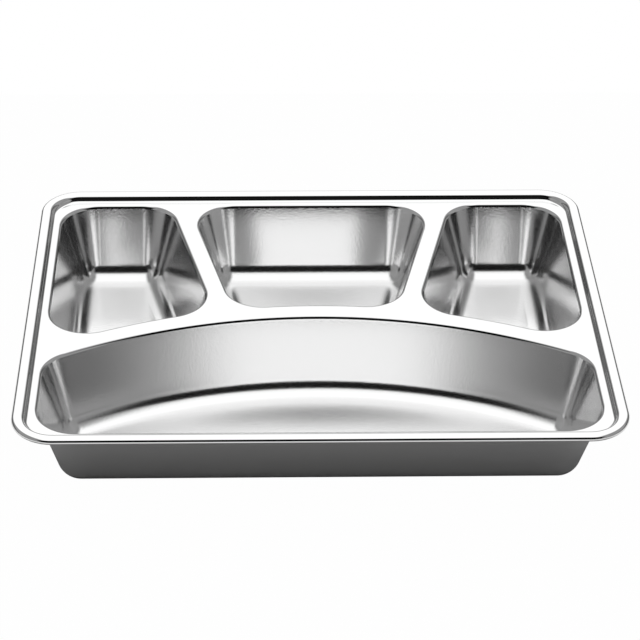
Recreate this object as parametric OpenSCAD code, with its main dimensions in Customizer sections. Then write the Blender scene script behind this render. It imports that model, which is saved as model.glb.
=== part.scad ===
// Four-compartment dining tray, pressed from one sheet of stainless steel.
// Origin: middle of the tray's outline, on the plane that the compartments' floors stand on.
// +X is the diner's right, +Y runs away from the diner, +Z is up.

/* [Tray] */
// Outer length, from rolled edge to rolled edge along X
tray_length = 285; // [240:5:360]
// Outer width, from rolled edge to rolled edge along Y
tray_width = 222.6; // [190:0.2:280]
// Overall height, from the floors' undersides to the top of the lip
tray_height = 41.8; // [30:0.2:60]
// Thickness of the steel sheet
sheet = 0.6; // [0.4:0.1:0.8]

/* [Rim] */
// Outer radius of the tray's four corners, seen from above
rim_corner_r = 20; // [16:1:30]
// Outer radius of the rolled edge
roll_r = 1.5; // [1:0.05:2]
// How far the rolled edge curls round, from the top
roll_turn = 290; // [240:5:300]
// Distance from the outer edge to where the lip starts to step down
lip_w = 3.7; // [3:0.1:4.4]
// Height that the step goes down, from the lip to the deck
step_drop = 3.2; // [2.8:0.1:5]
// Slope of the step, measured from level
step_slope = 68; // [55:1:74]
// Radius of the bend at the top of the step
step_top_r = 2.4; // [1:0.1:3.1]
// Radius of the bend at the foot of the step
step_foot_r = 1.9; // [1:0.1:2.6]

/* [Compartments] */
// Distance from the outer edge to the openings, at the left and right
side_margin = 8.9; // [8.2:0.1:14]
// Distance from the outer edge to the openings, at the back
back_margin = 8.7; // [8.2:0.1:14]
// Distance from the outer edge to the large opening, at the front
front_margin = 8.7; // [8.2:0.1:12]
// Distance from the outer front edge to the crown of the large opening's arched side
front_reach = 107.2; // [95:0.2:120]
// Radius of the large opening's arched side
arch_r = 254; // [230:1:360]
// Width of the arched bridge between the large opening and the three small ones
bridge_w = 6.7; // [5:0.1:14]
// Width of the two ribs between the small openings
rib_w = 6.5; // [5:0.25:12]
// Distance from the outer edge to a rib's centre line, at the left and right, level with the tray's middle
rib_reach = 97; // [91:0.5:102]
// Angle at which the ribs lean outward towards the back
rib_lean = 13.5; // [8:0.5:16]

/* [Walls] */
// Draft of the compartments' walls, from upright
wall_draft = 16.5; // [8:0.5:17]
// Radius of the rounded edge where a wall meets the deck
edge_r = 2.3; // [1.2:0.1:3]
// Radius of the fillet where a wall meets the floor, on the inside
floor_fillet_r = 10.5; // [6:0.25:12]
// Radius of a floor's corners, seen from above
floor_corner_r = 0.6; // [0.4:0.1:4]

/* [Hidden] */

steel = [0.78, 0.79, 0.80];
bright_steel = [0.88, 0.89, 0.90];

// Facets of small bends and of upright corners, where they are drawn as a mesh
bend_fn = 64;
corner_fn = 72;
// Steps of a compartment's surface: along its corners and arches, and up its fillet and its edge
corner_steps = 8;
front_arch_steps = 20;
rear_arch_steps = 8;
fillet_steps = 5;
edge_steps = 3;
step_steps = 6;

// Rim, from the outside inward: roll, lip, step down, deck
lip_x = rim_corner_r - lip_w;
roll_x = rim_corner_r - roll_r;
roll_z = tray_height - roll_r;
deck_z = tray_height - step_drop;
step_straight = (step_drop - (step_top_r + step_foot_r) * (1 - cos(step_slope))) / sin(step_slope);
step_run = (step_top_r + step_foot_r) * sin(step_slope) + step_straight * cos(step_slope);
deck_x = lip_x - step_run;

// Wall: how high it stands between its bends, and how far in the floor lies from the opening
wall_rise = deck_z - sheet - (edge_r + floor_fillet_r) * (1 - sin(wall_draft));
wall_length = wall_rise / cos(wall_draft);
wall_inset = (edge_r + floor_fillet_r) * cos(wall_draft) + wall_length * sin(wall_draft);
// Corner radius of an opening: every corner is a cone round one upright axis, its post
corner_r = floor_corner_r + wall_inset;

// Posts of the compartments' corners
post_x = tray_length / 2 - side_margin - corner_r;
front_post_y = -tray_width / 2 + front_margin + corner_r;
back_post_y = tray_width / 2 - back_margin - corner_r;
arch_centre = [0, -tray_width / 2 + front_reach - arch_r];
front_arch_r = arch_r - corner_r;
rear_arch_r = arch_r + bridge_w + corner_r;
// Across a rib: the distance from the tray's middle of its centre line, and of the posts on both sides
rib_across = [cos(rib_lean), -sin(rib_lean)];
rib_along = [sin(rib_lean), cos(rib_lean)];
rib_middle = (tray_length / 2 - rib_reach) * cos(rib_lean);
side_post_line = rib_middle + rib_w / 2 + corner_r;
centre_post_line = rib_middle - rib_w / 2 - corner_r;

// Height of an arch round the arch centre, at a distance from the middle
function arch_y(radius, x) = arch_centre.y + sqrt(radius * radius - x * x);
// Where a line beside a rib meets the arch that the rear posts stand on
function on_rear_arch(line) =
    let (across = line - rib_across * arch_centre)
    arch_centre + across * rib_across + sqrt(rear_arch_r * rear_arch_r - across * across) * rib_along;
// Where a line beside a rib meets the back row of posts
function on_back_row(line) = [(line + back_post_y * sin(rib_lean)) / cos(rib_lean), back_post_y];
function mirrored(p) = [-p.x, p.y];

// A path is a closed round of posts, anticlockwise. Each has the shape of the side that follows it:
// 0 straight, 1 an arch that bulges out of the compartment, -1 one that bulges into it.
front_path = [
    [[post_x, front_post_y], 0],
    [[post_x, arch_y(front_arch_r, post_x)], 1],
    [[-post_x, arch_y(front_arch_r, post_x)], 0],
    [[-post_x, front_post_y], 0]
];
right_path = [
    [[post_x, arch_y(rear_arch_r, post_x)], 0],
    [[post_x, back_post_y], 0],
    [on_back_row(side_post_line), 0],
    [on_rear_arch(side_post_line), -1]
];
centre_path = [
    [on_rear_arch(centre_post_line), 0],
    [on_back_row(centre_post_line), 0],
    [mirrored(on_back_row(centre_post_line)), 0],
    [mirrored(on_rear_arch(centre_post_line)), -1]
];
rim_path = [
    [[tray_length / 2 - rim_corner_r, -tray_width / 2 + rim_corner_r], 0],
    [[tray_length / 2 - rim_corner_r, tray_width / 2 - rim_corner_r], 0],
    [[-tray_length / 2 + rim_corner_r, tray_width / 2 - rim_corner_r], 0],
    [[-tray_length / 2 + rim_corner_r, -tray_width / 2 + rim_corner_r], 0]
];

function bearing(v) = atan2(v.y, v.x);
function full_turn(a) = a < 0 ? a + 360 : a;
// Bearing of the outward side, at point p of the stretch that runs from one post to the next
function outward(p, from, to, shape) =
    shape == 0 ? bearing(to - from) - 90 : bearing(shape * (p - arch_centre));

// Points of an arc about a centre, from one bearing to another
function arc(centre, radius, start, end, steps) = [
    for (i = [0:steps])
        let (a = start + (end - start) * i / steps)
        centre + radius * [cos(a), sin(a)]
];

// Points along an arched side, without its ends, at distance x outside the posts
function side_points(from, to, shape, x) =
    shape == 0 ? [] : let (
        steps = shape > 0 ? front_arch_steps : rear_arch_steps,
        all = arc(arch_centre, norm(from - arch_centre) + shape * x,
                  bearing(from - arch_centre), bearing(to - arch_centre), steps)
    ) [for (i = [1:steps - 1]) all[i]];

// Closed plan outline at distance x outside the posts of a path, anticlockwise
function ring(path, x) =
    let (count = len(path))
    [for (i = [0:count - 1])
        let (
            from = path[i][0],
            post = path[(i + 1) % count][0],
            next = path[(i + 2) % count][0],
            arriving = outward(post, from, post, path[i][1]),
            leaving = outward(post, post, next, path[(i + 1) % count][1])
        )
        each concat(
            side_points(from, post, path[i][1], x),
            arc(post, x, arriving, arriving + full_turn(leaving - arriving), corner_steps)
        )
    ];

// Solid that carries a section round a path and closes it with a floor. The section's points run
// up its upper face and back down its under face, as distance outside the posts and height.
module dish(path, section) {
    rings = [for (p = section) ring(path, p.x)];
    count = len(rings[0]);
    last = len(section) - 1;
    points = [for (j = [0:last]) for (p = rings[j]) [p.x, p.y, section[j].y]];
    sides = [
        for (j = [0:last - 1])
            for (i = [0:count - 1])
                let (next = (i + 1) % count)
                [j * count + i, j * count + next, (j + 1) * count + next, (j + 1) * count + i]
    ];
    upper_floor = [for (i = [count - 1:-1:0]) i];
    under_floor = [for (i = [0:count - 1]) last * count + i];
    polyhedron(points, concat(sides, [upper_floor, under_floor]));
}

// Carries a section round the rim: its x runs outward from the posts, its y is height
module round_the_rim() {
    across = tray_length - 2 * rim_corner_r;
    along = tray_width - 2 * rim_corner_r;
    for (turn = [0, 90, 180, 270]) {
        upright = turn % 180 == 0;
        length = upright ? along : across;
        reach = upright ? across : along;
        rotate(turn) translate([reach / 2, length / 2]) {
            rotate([90, 0, 0]) linear_extrude(length) children();
            rotate_extrude(angle = 90, $fn = corner_fn) children();
        }
    }
}

// A bend of the rolled edge: an arc of a ring about the origin, between two bearings
module bend(inner_r, outer_r, start, end) {
    middle = (start + end) / 2;
    reach = 2 * outer_r / cos((end - start) / 2);
    intersection() {
        difference() {
            circle(r = outer_r, $fn = bend_fn);
            circle(r = inner_r, $fn = bend_fn);
        }
        polygon([
            [0, 0],
            reach * [cos(start), sin(start)],
            reach * [cos(middle), sin(middle)],
            reach * [cos(end), sin(end)]
        ]);
    }
}

// Section of the rolled edge: a curl that starts at the top and ends under the lip
module roll_section() {
    half = roll_turn / 2;
    translate([roll_x, roll_z]) {
        bend(roll_r - sheet, roll_r, 90 - half, 90);
        bend(roll_r - sheet, roll_r, 90 - roll_turn, 90 - half);
    }
}

// Section of the flat lip and of the step down to the deck
module lip_section() {
    top_centre = [lip_x, tray_height - step_top_r];
    foot_centre = [deck_x, deck_z + step_foot_r];
    polygon(concat(
        [[roll_x, tray_height]],
        arc(top_centre, step_top_r, 90, 90 + step_slope, step_steps),
        arc(foot_centre, step_foot_r, 270 + step_slope, 270, step_steps),
        arc(foot_centre, step_foot_r + sheet, 270, 270 + step_slope, step_steps),
        arc(top_centre, step_top_r - sheet, 90 + step_slope, 90, step_steps),
        [[roll_x, tray_height - sheet]]
    ));
}

// Section of a compartment's sheet: fillet, drafted wall and rounded edge, then back underneath
bowl_section =
    let (
        fillet_centre = [floor_corner_r, sheet + floor_fillet_r],
        edge_centre = [corner_r, deck_z - edge_r]
    )
    concat(
        arc(fillet_centre, floor_fillet_r, 270, 360 - wall_draft, fillet_steps),
        arc(edge_centre, edge_r, 180 - wall_draft, 90, edge_steps),
        arc(edge_centre, edge_r - sheet, 90, 180 - wall_draft, edge_steps),
        arc(fillet_centre, floor_fillet_r + sheet, 360 - wall_draft, 270, fillet_steps)
    );

module rolled_edge() {
    color(bright_steel) round_the_rim() roll_section();
}

module raised_lip() {
    color(bright_steel) round_the_rim() lip_section();
}

// Flat deck with the four openings
module deck() {
    color(steel)
        translate([0, 0, deck_z - sheet])
            linear_extrude(sheet)
                difference() {
                    polygon(ring(rim_path, deck_x));
                    polygon(ring(front_path, corner_r));
                    polygon(ring(centre_path, corner_r));
                    polygon(ring(right_path, corner_r));
                    mirror([1, 0]) polygon(ring(right_path, corner_r));
                }
}

module front_bowl() {
    color(steel) dish(front_path, bowl_section);
}

module centre_bowl() {
    color(steel) dish(centre_path, bowl_section);
}

module right_bowl() {
    color(steel) dish(right_path, bowl_section);
}

module left_bowl() {
    mirror([1, 0, 0]) right_bowl();
}

rolled_edge();
raised_lip();
deck();
front_bowl();
left_bowl();
centre_bowl();
right_bowl();
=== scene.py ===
# %% [markdown]
# # A steel dining tray, pressed from one sheet
#
# The real tray starts as one flat sheet of stainless steel. A press draws four compartments into it, sets
# the deck down a small step below the lip, and curls the outer edge over so that nobody is cut by it.
# The CAD frame holds the same tray as seven solids, one for each feature that the press forms. Here each
# feature is modelled again as a smooth surface, because polished steel shows every flat facet of a mesh.

# %% Load the frame
from math import atan2, cos, pi, radians, sin, sqrt

import bmesh
import bpy
from mathutils import Matrix, Vector


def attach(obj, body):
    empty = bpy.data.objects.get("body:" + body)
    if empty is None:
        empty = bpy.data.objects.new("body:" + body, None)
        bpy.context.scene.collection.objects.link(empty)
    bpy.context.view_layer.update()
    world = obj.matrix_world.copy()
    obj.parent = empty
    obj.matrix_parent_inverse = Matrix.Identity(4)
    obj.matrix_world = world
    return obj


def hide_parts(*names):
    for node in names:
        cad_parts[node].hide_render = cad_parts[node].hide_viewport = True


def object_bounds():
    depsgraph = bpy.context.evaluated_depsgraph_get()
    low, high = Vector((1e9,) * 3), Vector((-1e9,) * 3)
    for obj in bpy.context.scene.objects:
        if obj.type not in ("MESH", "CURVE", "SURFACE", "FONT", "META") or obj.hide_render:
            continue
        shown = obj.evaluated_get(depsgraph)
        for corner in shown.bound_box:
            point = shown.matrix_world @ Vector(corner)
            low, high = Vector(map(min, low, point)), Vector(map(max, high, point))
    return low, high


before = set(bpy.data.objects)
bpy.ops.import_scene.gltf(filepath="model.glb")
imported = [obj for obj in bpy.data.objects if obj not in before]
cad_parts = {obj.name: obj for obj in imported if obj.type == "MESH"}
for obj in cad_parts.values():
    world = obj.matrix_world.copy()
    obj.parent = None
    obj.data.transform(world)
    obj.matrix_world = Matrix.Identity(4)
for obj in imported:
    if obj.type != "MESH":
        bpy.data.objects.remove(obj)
cad_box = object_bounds()
low, high = Vector(cad_box[0]), Vector(cad_box[1])
tray_length, tray_width, tray_height = high - low
print("tray", [round(side, 4) for side in (tray_length, tray_width, tray_height)])

# %% [markdown]
# ## Sizes of the sheet and its bends
#
# A pressed part is described by its bends: where each one starts, its radius, and how far it turns. These
# are the sizes of the real tray in metres, the same ones that shape the CAD solids, so each surface here
# lies on the solid that it stands for. The outline comes from the frame itself.

# %% Sizes
mm = 0.001
sheet = 0.6 * mm
# Width of the flat strips that hide the seams between two pieces
seam = 0.3 * mm

# The rim: a curl, a flat lip and a step down to the deck
rim_corner_r = 20 * mm
roll_r = 1.5 * mm
roll_turn = radians(290)
lip_w = 3.7 * mm
step_drop = 3.2 * mm
step_slope = radians(68)
step_top_r = 2.4 * mm
step_foot_r = 1.9 * mm

# The openings: their distance from the tray's edge, the arches and the ribs between them
side_margin = 8.9 * mm
back_margin = 8.7 * mm
front_margin = 8.7 * mm
front_reach = 107.2 * mm
arch_r = 254 * mm
bridge_w = 6.7 * mm
rib_w = 6.5 * mm
rib_x = 45.5 * mm
rib_lean = radians(13.5)

# The compartments' walls
wall_draft = radians(16.5)
edge_r = 2.3 * mm
floor_fillet_r = 10.5 * mm
floor_corner_r = 0.6 * mm

# %% Sizes that follow from those
lip_x = rim_corner_r - lip_w
roll_x = rim_corner_r - roll_r
roll_z = tray_height - roll_r
deck_z = tray_height - step_drop
step_rise = (step_top_r + step_foot_r) * (1 - cos(step_slope))
step_straight = (step_drop - step_rise) / sin(step_slope)
wall_straight = deck_z - sheet - (edge_r + floor_fillet_r) * (1 - sin(wall_draft))
wall_length = wall_straight / cos(wall_draft)
wall_inset = (edge_r + floor_fillet_r) * cos(wall_draft) + wall_length * sin(wall_draft)
corner_r = floor_corner_r + wall_inset
print("corner radius of the openings", round(corner_r / mm, 2), "mm, deck at", round(deck_z / mm, 2), "mm")

# %% [markdown]
# ## The posts
#
# Seen from above, each compartment is a closed line that turns about four posts, one at each corner, and
# runs straight or along an arch from post to post. Every section of the compartment keeps its distance from
# that line. A side's shape is 0 for straight, 1 for an arch that bulges outward and -1 for one that bulges
# in. All the arches share one centre, far in front of the tray. The ribs lean outward, so a line beside a rib
# is given by its distance from the tray's centre, measured square to the rib.

# %% Where the posts stand
straight, arch_out, arch_in = 0, 1, -1

post_x = tray_length / 2 - side_margin - corner_r
front_post_y = -tray_width / 2 + front_margin + corner_r
back_post_y = tray_width / 2 - back_margin - corner_r
arch_centre = Vector((0, -tray_width / 2 + front_reach - arch_r, 0))
front_arch_r = arch_r - corner_r
rear_arch_r = arch_r + bridge_w + corner_r
rib_across = Vector((cos(rib_lean), -sin(rib_lean), 0))
rib_along = Vector((sin(rib_lean), cos(rib_lean), 0))
rib_middle = rib_x * cos(rib_lean)
side_post_line = rib_middle + rib_w / 2 + corner_r
centre_post_line = rib_middle - rib_w / 2 - corner_r


def on_arch(radius, x):
    return Vector((x, arch_centre.y + sqrt(radius * radius - x * x), 0))


def on_rear_arch(line):
    across = line - rib_across.dot(arch_centre)
    along = sqrt(rear_arch_r * rear_arch_r - across * across)
    return arch_centre + across * rib_across + along * rib_along


def on_back_row(line):
    return Vector(((line + back_post_y * sin(rib_lean)) / cos(rib_lean), back_post_y, 0))


def mirrored(post):
    return Vector((-post.x, post.y, 0))


# %% Paths of the compartments and of the rim
# Each path runs anticlockwise: a post, then the shape of the side that leaves it
front_path = [
    (Vector((post_x, front_post_y, 0)), straight),
    (on_arch(front_arch_r, post_x), arch_out),
    (on_arch(front_arch_r, -post_x), straight),
    (Vector((-post_x, front_post_y, 0)), straight),
]
right_path = [
    (on_arch(rear_arch_r, post_x), straight),
    (Vector((post_x, back_post_y, 0)), straight),
    (on_back_row(side_post_line), straight),
    (on_rear_arch(side_post_line), arch_in),
]
centre_path = [
    (on_rear_arch(centre_post_line), straight),
    (on_back_row(centre_post_line), straight),
    (mirrored(on_back_row(centre_post_line)), straight),
    (mirrored(on_rear_arch(centre_post_line)), arch_in),
]
rim_post = Vector((tray_length / 2 - rim_corner_r, tray_width / 2 - rim_corner_r, 0))
rim_path = [
    (Vector((rim_post.x, -rim_post.y, 0)), straight),
    (Vector((rim_post.x, rim_post.y, 0)), straight),
    (Vector((-rim_post.x, rim_post.y, 0)), straight),
    (Vector((-rim_post.x, -rim_post.y, 0)), straight),
]
print("posts of the right compartment", [tuple(round(c / mm, 1) for c in post[:2]) for post, _ in right_path])

# %% [markdown]
# ## Drawing a section with Spin and Extrude
#
# A section through the sheet is a chain of edges: bends and straights. In the editor you would place one
# vertex, spin it round a bend's centre, extrude it along a straight, and so on. The helpers below do that
# with the same operators. The chain is drawn in the XZ plane, where X is the distance outward from a post.
# Spinning about +Y turns Z towards X, so a turn that is anticlockwise in the drawing has its sign changed.

# %% Helpers that draw a section


def start_chain(bm, x, z):
    return bm.verts.new((x, 0, z))


def run_straight(bm, tip, x, z):
    made = bmesh.ops.extrude_vert_indiv(bm, verts=[tip])
    bmesh.ops.translate(bm, verts=made["verts"], vec=(x, 0, z))
    return made["verts"][0]


def bend_round(bm, tip, centre, turn, steps):
    made = bmesh.ops.spin(
        bm, geom=[tip], cent=(centre[0], 0, centre[1]), axis=(0, 1, 0),
        angle=-turn, steps=steps, use_duplicate=False,
    )
    return next(part for part in made["geom_last"] if isinstance(part, bmesh.types.BMVert))


# %% [markdown]
# ## Carrying a section round its posts
#
# The press's punch has the same section all the way round, so the chain is carried along the closed line:
# extruded along a straight side, spun about the arch's centre on an arched side, and spun about each post
# at a corner. The first and last copies meet, and merging by distance closes the ring.

# %% Helpers that carry a section
corner_steps = 20
arch_steps = 56
merge_distance = 0.01 * mm


def bearing(direction):
    return atan2(direction.y, direction.x)


def outward(point, start, end, shape):
    if shape == straight:
        return bearing(end - start) - pi / 2
    return bearing(shape * (point - arch_centre))


def edges_of(geometry):
    return [part for part in geometry if isinstance(part, bmesh.types.BMEdge)]


def spin_chain(bm, chain, centre, angle, steps):
    verts = list({vert for edge in chain for vert in edge.verts})
    made = bmesh.ops.spin(
        bm, geom=verts + chain, cent=centre, axis=(0, 0, 1), angle=angle, steps=steps, use_duplicate=False,
    )
    return edges_of(made["geom_last"])


def extrude_chain(bm, chain, shift):
    made = bmesh.ops.extrude_edge_only(bm, edges=chain)["geom"]
    verts = [part for part in made if isinstance(part, bmesh.types.BMVert)]
    bmesh.ops.translate(bm, verts=verts, vec=shift)
    return edges_of(made)


def carry_round(bm, path):
    count = len(path)
    first, first_shape = path[0]
    facing = Matrix.Rotation(outward(first, first, path[1][0], first_shape), 4, "Z")
    bmesh.ops.transform(bm, matrix=Matrix.Translation(first) @ facing, verts=bm.verts)
    chain = bm.edges[:]
    for index, (start, shape) in enumerate(path):
        post, next_shape = path[(index + 1) % count]
        after = path[(index + 2) % count][0]
        if shape == straight:
            chain = extrude_chain(bm, chain, post - start)
        else:
            turn = bearing(post - arch_centre) - bearing(start - arch_centre)
            chain = spin_chain(bm, chain, arch_centre, turn, arch_steps)
        arriving = outward(post, start, post, shape)
        leaving = outward(post, post, after, next_shape)
        chain = spin_chain(bm, chain, post, (leaving - arriving) % (2 * pi), corner_steps)
    bmesh.ops.remove_doubles(bm, verts=bm.verts, dist=merge_distance)


# %% [markdown]
# ## From a surface to a piece of sheet
#
# So far each shape is the upper face of the sheet, without thickness. Its faces are turned to look up, as
# its widest level face shows. Then the sheet is made solid downward, and the edges of the cut sheet are
# marked sharp. A Weighted Normal modifier lets the large flat faces set the shading where they run into a
# bend. On polished metal that is what keeps a reflection from kinking at the tangent line.

# %% Helper that finishes a piece
# An edge that bends more than this is a cut edge
cut_angle = radians(50)
# How far the Weighted Normal modifier favours large faces, from 1 to 100
large_face_weight = 100


def finish_piece(name, node, bm, material):
    bmesh.ops.recalc_face_normals(bm, faces=bm.faces)
    widest = max(bm.faces, key=lambda face: face.calc_area() * abs(face.normal.z))
    if widest.normal.z < 0:
        bmesh.ops.reverse_faces(bm, faces=bm.faces)
    bmesh.ops.solidify(bm, geom=bm.faces[:], thickness=sheet)
    for face in bm.faces:
        face.smooth = True
    for edge in bm.edges:
        edge.smooth = edge.calc_face_angle(0) < cut_angle
    volume = bm.calc_volume(signed=True)
    mesh = bpy.data.meshes.new(name)
    bm.to_mesh(mesh)
    bm.free()
    mesh.materials.append(material)
    piece = bpy.data.objects.new(name, mesh)
    bpy.context.scene.collection.objects.link(piece)
    shading = piece.modifiers.new("even shading", "WEIGHTED_NORMAL")
    shading.mode = "FACE_AREA"
    shading.weight = large_face_weight
    shading.keep_sharp = True
    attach(piece, "root")
    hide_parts(node)
    print(name, len(mesh.polygons), "faces,", round(volume / mm**3), "mm3")


# %% [markdown]
# ## Small helpers for node trees
#
# The steel, the studio and the paper are all built from the same few nodes. So each kind of node gets one
# function that makes it, sets it, links what goes in and returns what comes out.

# %% Helpers that add nodes
# A Mix node has its sockets for numbers and vectors first, so those for colours go by their place
mix_colour_a, mix_colour_b, mix_colour_out = 6, 7, 2


def add_math(tree, operation, *values, clamp=False):
    node = tree.nodes.new("ShaderNodeMath")
    node.operation = operation
    node.use_clamp = clamp
    for socket, value in zip(node.inputs, values):
        if isinstance(value, (int, float)):
            socket.default_value = value
        else:
            tree.links.new(value, socket)
    return node.outputs[0]


def add_range(tree, value, start, end, first, last, curve="LINEAR"):
    node = tree.nodes.new("ShaderNodeMapRange")
    node.interpolation_type = curve
    node.inputs["From Min"].default_value = start
    node.inputs["From Max"].default_value = end
    node.inputs["To Min"].default_value = first
    node.inputs["To Max"].default_value = last
    tree.links.new(value, node.inputs["Value"])
    return node.outputs["Result"]


def add_axes(tree, place):
    node = tree.nodes.new("ShaderNodeSeparateXYZ")
    tree.links.new(place, node.inputs[0])
    return node.outputs


def add_noise(tree, place, size, detail):
    node = tree.nodes.new("ShaderNodeTexNoise")
    node.inputs["Scale"].default_value = 1 / size
    node.inputs["Detail"].default_value = detail
    tree.links.new(place, node.inputs["Vector"])
    return node.outputs["Fac"]


def add_bump(tree, height, distance, strength=None, normal=None):
    node = tree.nodes.new("ShaderNodeBump")
    node.inputs["Distance"].default_value = distance
    for socket, value in (("Height", height), ("Strength", strength), ("Normal", normal)):
        if value:
            tree.links.new(value, node.inputs[socket])
    return node.outputs["Normal"]


def add_ramp(tree, value, stops):
    node = tree.nodes.new("ShaderNodeValToRGB")
    elements = node.color_ramp.elements
    for place, level in stops[1:-1]:
        elements.new(place)
    for element, (place, level) in zip(elements, stops):
        element.position = place
        element.color = (level, level, level, 1)
    tree.links.new(value, node.inputs["Fac"])
    return node.outputs["Color"]


def mix_colours(tree, share, first, second):
    node = tree.nodes.new("ShaderNodeMix")
    node.data_type = "RGBA"
    tree.links.new(share, node.inputs["Factor"])
    tree.links.new(first, node.inputs[mix_colour_a])
    tree.links.new(second, node.inputs[mix_colour_b])
    return node.outputs[mix_colour_out]


def mix_shaders(tree, share, first, second):
    node = tree.nodes.new("ShaderNodeMixShader")
    tree.links.new(share, node.inputs["Fac"])
    tree.links.new(first.outputs[0], node.inputs[1])
    tree.links.new(second.outputs[0], node.inputs[2])
    return node.outputs[0]


# %% [markdown]
# ## Two finishes of the same steel
#
# Stainless steel has no colour of its own: it shows the studio. What tells the polished deck from the drawn
# walls is how blurred that reflection is, and the fine orange-peel grain that deep drawing leaves where the
# sheet stretches. So both finishes are the same metal with a different roughness, and a bump from two noise
# textures: a fine grain, and long shallow waves of the kind that any pressed sheet has. The grain varies the
# roughness a little as well.
#
# Round the edge of an opening the steel is as bright as the deck. So going up over that edge, the satin
# steel's roughness falls to the polished one, and its grain fades by the same share.

# %% Steel
steel_colour = (0.92, 0.92, 0.92, 1)
polished_roughness = 0.05
satin_roughness = 0.17
least_blur, most_blur = 0.85, 1.15
grain_detail = 3
wave_detail = 1
polish_start_z = deck_z - 1.2 * edge_r
polish_end_z = deck_z - 0.5 * edge_r


def make_steel(name, roughness, grain_height, grain_size, wave_height, wave_size):
    steel = bpy.data.materials.new(name)
    steel.use_nodes = True
    tree = steel.node_tree
    shader = tree.nodes["Principled BSDF"]
    shader.inputs["Base Color"].default_value = steel_colour
    shader.inputs["Metallic"].default_value = 1
    place = tree.nodes.new("ShaderNodeTexCoord").outputs["Object"]
    height = add_axes(tree, place)["Z"]
    polish_share = polished_roughness / roughness
    polish = add_range(tree, height, polish_start_z, polish_end_z, 1, polish_share, "SMOOTHSTEP")
    grain = add_noise(tree, place, grain_size, grain_detail)
    waves = add_noise(tree, place, wave_size, wave_detail)
    blur = add_range(tree, grain, 0, 1, roughness * least_blur, roughness * most_blur)
    tree.links.new(add_math(tree, "MULTIPLY", blur, polish), shader.inputs["Roughness"])
    long_bump = add_bump(tree, waves, wave_height)
    fine_bump = add_bump(tree, grain, grain_height, strength=polish, normal=long_bump)
    tree.links.new(fine_bump, shader.inputs["Normal"])
    print(name, "roughness", roughness)
    return steel


bright_steel = make_steel(
    "bright_steel", polished_roughness,
    grain_height=0.0005 * mm, grain_size=1.2 * mm, wave_height=0.02 * mm, wave_size=40 * mm,
)
satin_steel = make_steel(
    "satin_steel", satin_roughness,
    grain_height=0.03 * mm, grain_size=1.1 * mm, wave_height=0.04 * mm, wave_size=30 * mm,
)

# %% [markdown]
# ## A floor that isn't quite flat
#
# A pressed floor always bulges a little. Here a floor is cut into a grid and relaxed like a skin that is held
# at its edge and pushed from below: in each pass a point moves to the mean of its neighbours, plus one push.
# The square of that lift leaves the edge level, so the floor flows out of its fillet. It rises by only half a
# millimetre in the small compartments and by one and a half in the large one, enough to bend a reflection.

# %% Helpers that crown a floor
large_crown = 1.5 * mm
small_crown = 0.45 * mm
floor_grid = 3 * mm
skin_passes = 220


def cut_grid(bm, floor):
    part = [floor, *floor.edges, *floor.verts]
    corners = [vert.co.copy() for vert in floor.verts]
    for axis in (Vector((1, 0, 0)), Vector((0, 1, 0))):
        reach = [corner.dot(axis) for corner in corners]
        start, length = min(reach), max(reach) - min(reach)
        cells = round(length / floor_grid)
        for cell in range(1, cells):
            place = axis * (start + length * cell / cells)
            cut = bmesh.ops.bisect_plane(bm, geom=part, plane_co=place, plane_no=axis, dist=merge_distance)
            part = cut["geom"]
    return {face for face in part if isinstance(face, bmesh.types.BMFace)}


def crown_floor(bm, floor, crown):
    faces = cut_grid(bm, floor)
    lift = dict.fromkeys({vert for face in faces for vert in face.verts}, 0)
    inner = [vert for vert in lift if faces.issuperset(vert.link_faces)]
    around = {vert: [edge.other_vert(vert) for edge in vert.link_edges] for vert in inner}
    for _ in range(skin_passes):
        lift.update({vert: 1 + sum(lift[near] for near in ring) / len(ring) for vert, ring in around.items()})
    highest = max(lift.values())
    for vert in inner:
        vert.co.z += crown * (lift[vert] / highest) ** 2
    print("floor of", len(faces), "cells, crowned by", round(crown / mm, 2), "mm")


# %% [markdown]
# ## The compartments
#
# A drawn compartment has a floor, a fillet, a wall with enough draft to leave the punch, and a rounded edge
# at the deck. The section starts on the floor, beside the fillet, and ends on the deck just past the rounded
# edge: that narrow flat strip makes the seam with the deck disappear, because both sides of it lie in one
# plane. Once the section has been carried round, the hole left in the middle is filled with the floor, and a
# small inset keeps the floor's shading apart from the fillet's.

# %% The four compartments
fillet_steps = 14
edge_steps = 10


def make_bowl(name, node, path, crown, mirror=False):
    bm = bmesh.new()
    fillet_z = sheet + floor_fillet_r
    edge_z = deck_z - edge_r
    turn = pi / 2 - wall_draft
    tip = start_chain(bm, floor_corner_r, sheet)
    tip = bend_round(bm, tip, (floor_corner_r, fillet_z), turn, fillet_steps)
    tip = run_straight(bm, tip, wall_length * sin(wall_draft), wall_length * cos(wall_draft))
    tip = bend_round(bm, tip, (corner_r, edge_z), -turn, edge_steps)
    run_straight(bm, tip, seam, 0)
    carry_round(bm, path)
    rim_of_floor = [edge for edge in bm.edges if edge.is_boundary and edge.verts[0].co.z < fillet_z]
    floor = bmesh.ops.contextual_create(bm, geom=rim_of_floor)["faces"]
    bmesh.ops.inset_individual(bm, faces=floor, thickness=seam)
    crown_floor(bm, floor[0], crown)
    if mirror:
        bmesh.ops.scale(bm, vec=(-1, 1, 1), verts=bm.verts)
    finish_piece(name, node, bm, satin_steel)


make_bowl("front_compartment", "front_bowl", front_path, large_crown)
make_bowl("right_compartment", "right_bowl", right_path, small_crown)
make_bowl("left_compartment", "left_bowl", right_path, small_crown, mirror=True)
make_bowl("centre_compartment", "centre_bowl", centre_path, small_crown)

# %% [markdown]
# ## The rim
#
# The rim is carried round the tray's own four posts in the same way. Its lip is flat, then steps down to the
# deck through two opposite bends. Outside, the sheet curls over and under until its cut edge hides below the
# lip. The curl is a separate piece here, and again a narrow flat strip on it hides the seam.

# %% The lip with its step
step_steps = 10

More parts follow.
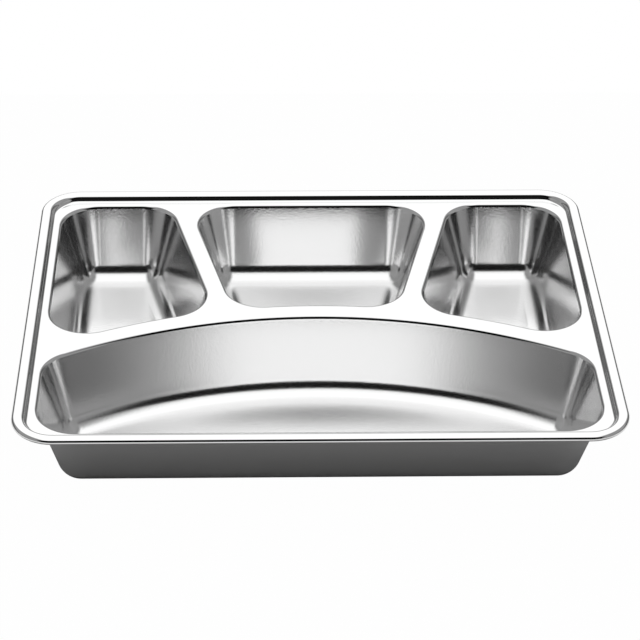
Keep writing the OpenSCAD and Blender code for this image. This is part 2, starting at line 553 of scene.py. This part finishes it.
step = bmesh.new()
tip = start_chain(step, roll_x - seam, tray_height)
tip = run_straight(step, tip, lip_x - roll_x + seam, 0)
tip = bend_round(step, tip, (lip_x, tray_height - step_top_r), step_slope, step_steps)
tip = run_straight(step, tip, -step_straight * cos(step_slope), -step_straight * sin(step_slope))
foot_x = tip.co.x - step_foot_r * sin(step_slope)
tip = bend_round(step, tip, (foot_x, deck_z + step_foot_r), -step_slope, step_steps)
run_straight(step, tip, -seam, 0)
carry_round(step, rim_path)
finish_piece("stepped_lip", "raised_lip", step, bright_steel)

# %% The curled edge
curl_steps = 44

curl = bmesh.new()
tip = start_chain(curl, roll_x - seam, tray_height)
tip = run_straight(curl, tip, seam, 0)
bend_round(curl, tip, (roll_x, roll_z), -roll_turn, curl_steps)
carry_round(curl, rim_path)
finish_piece("curled_edge", "rolled_edge", curl, bright_steel)

# %% [markdown]
# ## The deck
#
# The deck is what is left flat between the rim and the openings: the bridge and the two ribs. The helpers
# carry edges, so each outline starts as one short upright edge. Once that has been carried round, its lower
# end is deleted, which leaves a closed line. A triangle fill then closes the space between the outer line
# and the four inner ones.

# %% Deck
opening_reach = corner_r + seam
outlines = [
    (rim_path, foot_x - seam, 1),
    (front_path, opening_reach, 1),
    (centre_path, opening_reach, 1),
    (right_path, opening_reach, 1),
    (right_path, opening_reach, -1),
]
deck = bmesh.new()
for path, reach, side in outlines:
    outline = bmesh.new()
    tip = start_chain(outline, reach, deck_z)
    run_straight(outline, tip, 0, -sheet)
    carry_round(outline, path)
    bmesh.ops.scale(outline, vec=(side, 1, 1), verts=outline.verts)
    below = [vert for vert in outline.verts if vert.co.z < deck_z - sheet / 2]
    bmesh.ops.delete(outline, geom=below, context="VERTS")
    ring = bpy.data.meshes.new("ring")
    outline.to_mesh(ring)
    outline.free()
    deck.from_mesh(ring)
    bpy.data.meshes.remove(ring)
bmesh.ops.triangle_fill(deck, use_beauty=True, edges=deck.edges, normal=(0, 0, 1))
finish_piece("bridge_and_ribs", "deck", deck, bright_steel)

# %% [markdown]
# ## Camera
#
# The photograph looks down on the tray from in front, through a long lens. Its place was worked out from the
# tray's outline. The optical axis passes left of the frame's middle, which a camera's shift reproduces.

# %% Camera
frame_px = 640
focal_px = 2189.4
axis_px = 289.2
sensor_mm = 36
camera_place = Vector((-0.0318, -0.9045, 0.6391))
look_down = radians(33.852)
look_right = radians(1.19)
camera_roll = radians(0.35)

lens = bpy.data.cameras.new("camera")
lens.sensor_width = sensor_mm
lens.lens = sensor_mm * focal_px / frame_px
lens.shift_x = (frame_px / 2 - axis_px) / frame_px
camera = bpy.data.objects.new("camera", lens)
turned = Matrix.Rotation(-look_right, 4, "Z") @ Matrix.Rotation(pi / 2 - look_down, 4, "X")
camera.matrix_world = Matrix.Translation(camera_place) @ turned @ Matrix.Rotation(camera_roll, 4, "Z")
bpy.context.scene.collection.objects.link(camera)
bpy.context.scene.camera = camera
print("lens", round(lens.lens, 1), "mm, shift", round(lens.shift_x, 4))

# %% [markdown]
# ## Studio
#
# Polished steel is lit by what it reflects. The photograph's studio has a white sweep that rises behind the
# tray and passes overhead, and a dark room on the camera's side. The world is built as that studio. An angle
# that runs from the horizon behind the tray, over the top, to the horizon in front picks a brightness from
# each of three ramps: one for the middle of the studio, one for the edges of the sweep beside it, and one for
# the walls at the sides. They blend into each other as the direction turns sideways. The camera itself sees
# plain white.

# %% Brightness of the studio
# Each stop is a place, from 0 at the horizon behind, over 0.5 overhead, to 1 in front, and a brightness
middle_stops = [
    (0.0, 0.02), (0.05, 0.3), (0.12, 1.1), (0.3, 1.12), (0.54, 1.12), (0.64, 1.0), (0.68, 0.0), (0.8, 0.006),
    (1.0, 0.01),
]
beside_stops = [
    (0.0, 0.02), (0.1, 0.15), (0.18, 0.4), (0.28, 0.25), (0.5, 0.22), (0.58, 0.32), (0.64, 0.3), (0.7, 0.0),
    (0.9, 0.0), (1.0, 0.1),
]
side_stops = [(0.0, 0.12), (0.14, 0.1), (0.28, 0.32), (0.5, 0.3), (0.8, 0.26), (0.92, 0.35), (1.0, 0.3)]
# Turning sideways, the middle ramp holds up to the first angle, the next one at the second, and the sides'
# one from the third
middle_until = radians(16)
beside_at = radians(30)
sides_from = radians(42)

# %% World
world = bpy.data.worlds.new("studio")
bpy.context.scene.world = world
world.use_nodes = True
tree = world.node_tree
tree.nodes.clear()
direction = add_axes(tree, tree.nodes.new("ShaderNodeTexCoord").outputs["Generated"])
over = add_math(tree, "ARCTAN2", direction["Z"], direction["Y"])
share = add_math(tree, "DIVIDE", over, pi, clamp=True)
sideways = add_math(tree, "ABSOLUTE", direction["X"])
light = add_ramp(tree, share, middle_stops)
for stops, start, end in ((beside_stops, middle_until, beside_at), (side_stops, beside_at, sides_from)):
    fade = add_range(tree, sideways, sin(start), sin(end), 0, 1, "SMOOTHSTEP")
    light = mix_colours(tree, fade, light, add_ramp(tree, share, stops))
room = tree.nodes.new("ShaderNodeBackground")
tree.links.new(light, room.inputs["Color"])
backdrop = tree.nodes.new("ShaderNodeBackground")
backdrop.inputs["Color"].default_value = (1, 1, 1, 1)
seen_by = tree.nodes.new("ShaderNodeLightPath").outputs
output = tree.nodes.new("ShaderNodeOutputWorld")
tree.links.new(mix_shaders(tree, seen_by["Is Camera Ray"], room, backdrop), output.inputs["Surface"])
print("studio of", len(tree.nodes), "nodes")

# %% [markdown]
# ## Floor
#
# The floor is a pale sheet of paper. To the camera it is as white as the backdrop, with a faint shadow left
# in it. The tray's outer walls reflect it, and for them light and shade are painted into the paper: painted
# shade close to the tray and a painted glow further out, where more of the studio's light would fall on it.

# %% Paper
paper_grey = (0.5, 0.5, 0.5, 1)
paper_roughness = 0.9
white_for_camera = 0.99
# Strength of the painted light that the steel sees in the paper, and the distances past the tray's edge over
# which the painted shade gives way to it
painted_light_strength = 0.65
painted_shade_ends = 5 * mm
painted_light_starts = 45 * mm

paper = bpy.data.materials.new("paper")
paper.use_nodes = True
tree = paper.node_tree
shader = tree.nodes["Principled BSDF"]
shader.inputs["Base Color"].default_value = paper_grey
shader.inputs["Roughness"].default_value = paper_roughness
glow = tree.nodes.new("ShaderNodeEmission")
seen_by = tree.nodes.new("ShaderNodeLightPath").outputs
spot = add_axes(tree, tree.nodes.new("ShaderNodeTexCoord").outputs["Object"])
past_side = add_math(tree, "SUBTRACT", add_math(tree, "ABSOLUTE", spot["X"]), tray_length / 2)
past_end = add_math(tree, "SUBTRACT", add_math(tree, "ABSOLUTE", spot["Y"]), tray_width / 2)
past_tray = add_math(tree, "MAXIMUM", past_side, past_end)
# Painted shade beside the tray and painted light further out, seen only in the steel's reflections
painted_light_share = add_range(tree, past_tray, painted_shade_ends, painted_light_starts, 0, painted_light_strength, "SMOOTHSTEP")
painted_light_for_steel = add_math(tree, "MULTIPLY", seen_by["Is Glossy Ray"], painted_light_share)
for_camera = add_math(tree, "MULTIPLY", seen_by["Is Camera Ray"], white_for_camera)
white_and_painted_light = add_math(tree, "ADD", for_camera, painted_light_for_steel)
tree.links.new(mix_shaders(tree, white_and_painted_light, shader, glow), tree.nodes["Material Output"].inputs["Surface"])
print("paper of", len(tree.nodes), "nodes")

# %% Floor
floor_size = 0.6
floor_gap = 0.1 * mm

ground = bmesh.new()
bmesh.ops.create_grid(ground, x_segments=1, y_segments=1, size=floor_size / 2)
bmesh.ops.translate(ground, verts=ground.verts, vec=(0, 0, low.z - floor_gap))
floor_mesh = bpy.data.meshes.new("paper_floor")
ground.to_mesh(floor_mesh)
ground.free()
floor_mesh.materials.append(paper)
paper_floor = bpy.data.objects.new("paper_floor", floor_mesh)
bpy.context.scene.collection.objects.link(paper_floor)
print("floor", floor_size, "m square")

# %% [markdown]
# ## The picture
#
# The picture is taken with the Standard view transform, so a colour renders as it is written.

# %% Finish
bpy.context.scene.view_settings.view_transform = "Standard"
